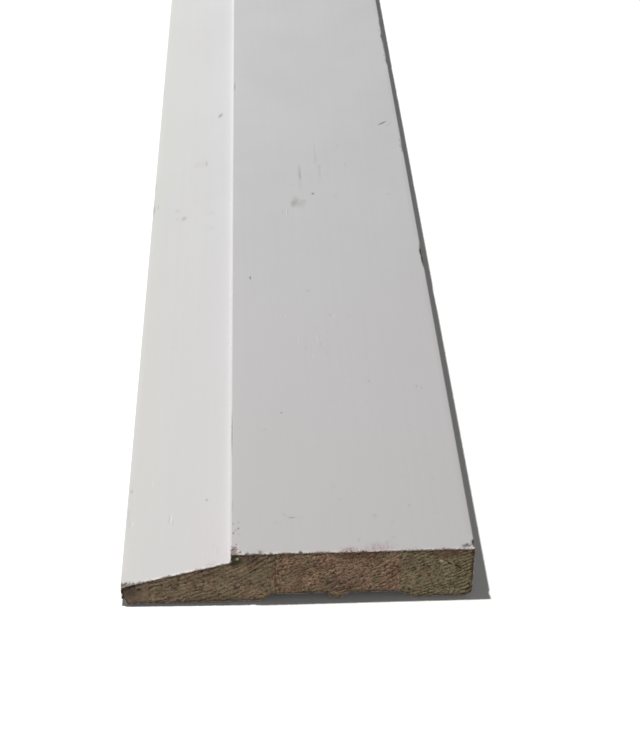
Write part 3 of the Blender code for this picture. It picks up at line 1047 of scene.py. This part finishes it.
@dataclass(frozen=True)
class Primer:
    """Factory primer on planed pine: a thin matt off-white coat that lets faint grain through."""

    wood: SawnPine
    near: float
    step: float
    name: str = "white_primer"
    coat: str = "D5D5D6"
    shade: str = "D3D2D3"
    handled: str = "D7D3D3"
    warm: str = "CFCFC8"
    speck: str = "8E887E"
    # Dark marks on the paint, and painted shade in the darkest knocks on the outer arris
    stain_and_shade: str = "3A352B"
    rust: str = "A56A60"
    olive: str = "6C6B45"
    worn: str = "B8A29E"
    torn: str = "5C463C"
    pale_and_highlight: str = "F4F1EE"
    # Pale marks, and the painted highlight where the paint's raised edge at the cut catches the light
    roughness: float = 0.58
    ior: float = 1.5
    mottle_size: float = 26.0
    streak_size: tuple[float, float] = (1.6, 90.0)
    peel_size: float = 0.45
    bit_size: float = 0.75
    crumb_size: float = 0.42
    speck_size: float = 3.0
    handled_reach: float = 190.0
    warm_reach: float = 28.0
    lip_width: float = 0.45
    bump: float = 0.25
    bump_height: float = 0.03

    def build(self) -> Material:
        """Makes the finish of the painted faces, with bare wood where it is knocked off.

        Returns:
            The material.
        """
        net = Network.start(self.name)
        place = net.add("TexCoord", {}, "Object")
        paint, streaks = self.paint(net, place)
        wood, _ = self.wood.colour(net, place)
        bits, crumbs, peel = (
            net.add("TexNoise", {"Vector": place, "Scale": per_metre(size), "Detail": 3.0})
            for size in (self.bit_size, self.crumb_size, self.peel_size)
        )
        marked = with_marks(net, paint, bits, (self.stain_and_shade, self.rust, self.olive, self.pale_and_highlight))
        # The coat thins out and then opens as torn rises, and it is more broken at the saw cut
        bare = net.add("Attribute", {}, "Fac", attribute_name="bare")
        torn = net.add("Math", {0: crumbs, 1: 1.7, 2: bare}, operation="MULTIPLY_ADD")
        along = net.add("SeparateXYZ", {0: place}, "Y")
        lip = {"From Min": self.near, "From Max": self.near + self.lip_width * MM}
        gone = net.add("MapRange", {"Value": along, **lip, "To Min": 0.75, "To Max": 0.0})
        torn = net.add("Math", {0: torn, 1: gone}, operation="ADD")
        thin = net.add("MapRange", {"Value": torn, "From Min": 1.15, "From Max": 1.42, "To Max": 0.7})
        marked = net.add("Mix", {"Factor": thin, "A": marked, "B": self.worn}, **COLOURS)
        open_wood = net.add("MapRange", {"Value": torn, "From Min": 1.42, "From Max": 1.58})
        wood = net.add("Mix", {"Factor": 0.75, "A": wood, "B": self.torn}, **COLOURS)
        final = net.add("Mix", {"Factor": open_wood, "A": marked, "B": wood}, **COLOURS)
        level = net.add("Math", {0: streaks, 1: 1.2, 2: peel}, operation="MULTIPLY_ADD")
        film = net.add("Math", {0: open_wood, 1: -2.5, 2: level}, operation="MULTIPLY_ADD")
        relief = {"Strength": self.bump, "Distance": self.bump_height * MM, "Height": film}
        normal = net.add("Bump", relief)
        span = {"To Min": self.roughness - 0.06, "To Max": self.roughness + 0.08}
        rough = net.add("MapRange", {"Value": peel, **span})
        return net.shade({"Base Color": final, "Normal": normal, "Roughness": rough, "IOR": self.ior})

    def paint(self, net: Network, place: NodeSocket) -> tuple[NodeSocket, NodeSocket]:
        """Draws the coat: soft mottling, tints, faint lengthwise streaks, fine dust specks and a painted
        highlight at the cut.

        Args:
            net: the material's nodes.
            place: object coordinates.

        Returns:
            The colour, and the streaks from 0 to 1.
        """
        mottle = net.add("TexNoise", {"Vector": place, "Scale": per_metre(self.mottle_size), "Detail": 3.0})
        patch = net.add("MapRange", {"Value": mottle, "From Min": 0.35, "From Max": 0.65})
        hues = {"A": self.shade, "B": self.coat}
        coat = net.add("Mix", {"Factor": patch, **hues}, **COLOURS)
        along = net.add("SeparateXYZ", {0: place}, "Y")
        across = net.add("SeparateXYZ", {0: place}, "X")
        near, step, lip = self.near, self.step, self.lip_width
        for value, start, end, share, colour in (
            (along, near, near + self.handled_reach * MM, 1.0, self.handled),
            (across, step - self.warm_reach * MM, step, 0.55, self.warm),
            # A painted highlight over the first millimetre of paint from the cut, where its raised edge
            # catches the light
            (along, near + lip * MM, near + lip * 2.5 * MM, 0.55, self.pale_and_highlight),
        ):
            part = {"From Min": start, "From Max": end, "To Min": share, "To Max": 0.0}
            amount = net.add("MapRange", {"Value": value, **part})
            coat = net.add("Mix", {"Factor": amount, "A": coat, "B": colour}, **COLOURS)
        size = (self.streak_size[0] * MM, self.streak_size[1] * MM, 1.0)
        stretched = net.add("Mapping", {"Vector": place, "Scale": size}, vector_type="TEXTURE")
        streaks = net.add("TexNoise", {"Vector": stretched, "Scale": 1.0, "Detail": 3.0})
        swing = {"From Min": 0.3, "From Max": 0.7, "To Min": 0.992, "To Max": 1.008}
        gain = net.add("MapRange", {"Value": streaks, **swing})
        coat = net.add("VectorMath", {0: coat, "Scale": gain}, operation="SCALE")
        cells = net.add("TexVoronoi", {"Vector": place, "Scale": per_metre(self.speck_size)})
        fade = {"From Min": 0.04, "From Max": 0.10, "To Min": 0.15, "To Max": 0.0}
        speck = net.add("MapRange", {"Value": cells, **fade})
        coat = net.add("Mix", {"Factor": speck, "A": coat, "B": self.speck}, **COLOURS)
        return coat, streaks


@dataclass(frozen=True)
class PaleFloor:
    """A plain matt white board under the moulding, in an open sheet and a covered one."""

    name: str = "pale_floor"
    colour: str = "E2E2E0"
    roughness: float = 0.9
    size: float = 12.0
    drop: float = 0.50 * MM
    cover_rise: float = 0.02 * MM

    def sheet(self, name: str, middle: Vector, size: tuple[float, float], material: Material) -> Object:
        """Makes one flat sheet and marks it as stage.

        Args:
            name: the object's name.
            middle: its centre.
            size: how far it reaches across and along.
            material: its finish.

        Returns:
            The sheet.
        """
        mesh = bpy.data.meshes.new(name)
        sheet = bmesh.new()
        bmesh.ops.create_grid(sheet, x_segments=1, y_segments=1, size=0.5)
        bmesh.ops.scale(sheet, verts=sheet.verts, vec=(*size, 1.0))
        bmesh.ops.translate(sheet, verts=sheet.verts, vec=middle)
        sheet.to_mesh(mesh)
        sheet.free()
        mesh.materials.append(material)
        made = bpy.data.objects.new(name, mesh)
        bpy.context.scene.collection.objects.link(made)
        return made

    def build(self, low: Vector, high: Vector) -> Object:
        """Makes the floor.

        Args:
            low: lowest corner of what lies on it.
            high: highest corner of that.

        Returns:
            The open floor.
        """
        net = Network.start(self.name)
        material = net.shade({"Base Color": self.colour, "Roughness": self.roughness})
        down = low.z - self.drop
        floor = self.sheet("floor", Vector((0.0, 0.0, down)), (self.size, self.size), material)
        # The room's light stands for what the open floor throws back at the board
        floor.visible_diffuse = False
        middle = (low + high) / 2
        middle.z = down + self.cover_rise
        self.sheet("covered_floor", middle, (high.x - low.x, high.y - low.y), material)
        return floor


@dataclass(frozen=True)
class SoftLight:
    """A square white lamp, aimed at the middle of the scene, that lights one thing alone."""

    name: str
    place: tuple[float, float, float]
    size: float
    power: float

    def build(self, lit: Object) -> None:
        """Makes the lamp.

        Args:
            lit: what it lights.
        """
        data = bpy.data.lights.new(self.name, "AREA")
        data.shape = "SQUARE"
        data.size = self.size
        data.energy = self.power
        lamp = bpy.data.objects.new(self.name, data)
        lamp.location = self.place
        lamp.rotation_euler = (-Vector(self.place)).to_track_quat("-Z", "Y").to_euler()
        bpy.context.scene.collection.objects.link(lamp)
        receivers = bpy.data.collections.new(f"{self.name}_lights")
        receivers.objects.link(lit)
        lamp.light_linking.receiver_collection = receivers


@dataclass(frozen=True)
class Studio:
    """Camera, lamps and surroundings."""

    camera_place: tuple[float, float, float] = (-7.67 * MM, -485.60 * MM, 279.10 * MM)
    yaw: float = 2.619
    pitch: float = 35.916
    roll: float = 0.292
    focal_pixels: float = 1556.6
    photo_height: int = 739
    sensor: float = 36.0
    sky: float = 0.20
    key: SoftLight = SoftLight("key", (-0.697, 0.455, 0.684), 0.35, 10.1)
    fill: SoftLight = SoftLight("fill", (-0.40, -0.55, 0.60), 0.30, 1.43)
    floor_lamp: SoftLight = SoftLight("floor_lamp", (-0.405, -0.08, 1.5), 0.05, 34.0)

    def camera(self) -> None:
        """Sets the camera where the photograph was taken from."""
        yaw, pitch, roll = (math.radians(a) for a in (self.yaw, self.pitch, self.roll))
        ahead = Vector(
            (math.sin(yaw) * math.cos(pitch), math.cos(yaw) * math.cos(pitch), -math.sin(pitch))
        )
        level = Vector((math.cos(yaw), -math.sin(yaw), 0.0))
        up = level.cross(ahead)
        right = math.cos(roll) * level + math.sin(roll) * up
        top = -math.sin(roll) * level + math.cos(roll) * up
        data = bpy.data.cameras.new("camera")
        data.sensor_width = self.sensor
        data.lens = self.focal_pixels / self.photo_height * self.sensor
        data.clip_start, data.clip_end = 0.01, 50.0
        camera = bpy.data.objects.new("camera", data)
        turn = Matrix((right, top, -ahead)).transposed().to_4x4()
        camera.matrix_world = Matrix.Translation(Vector(self.camera_place)) @ turn
        bpy.context.scene.collection.objects.link(camera)
        bpy.context.scene.camera = camera

    def surroundings(self) -> None:
        """Fills the shadows with even light from all round."""
        world = bpy.data.worlds.new("soft_room")
        world.use_nodes = True
        back = world.node_tree.nodes["Background"]
        back.inputs["Color"].default_value = linear("FFFFFF")
        back.inputs["Strength"].default_value = self.sky
        bpy.context.scene.world = world
        bpy.context.scene.view_settings.view_transform = "Standard"

    def build(self, floor: Object, board: Object) -> None:
        """Sets up camera and light.

        Args:
            floor: the floor, which takes a lamp of its own.
            board: the board, which takes the other two.
        """
        self.camera()
        self.surroundings()
        self.key.build(board)
        self.fill.build(board)
        self.floor_lamp.build(floor)


def main() -> None:
    """Builds the camera, the light, the finishes and the board."""
    logging.basicConfig(level=logging.INFO, format="%(name)s: %(message)s")
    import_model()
    low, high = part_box(NODE)
    floor = PaleFloor().build(low, high)
    wood = SawnPine()
    casing = Casing(low, high)
    board = casing.build(Primer(wood, casing.near, casing.step).build(), wood.build())
    Studio().build(floor, board)
    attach(board, "root")
    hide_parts(NODE)
    mesh = board.data
    LOG.info("%s: %d vertices, %d faces", board.name, len(mesh.vertices), len(mesh.polygons))


if __name__ == "__main__":
    main()
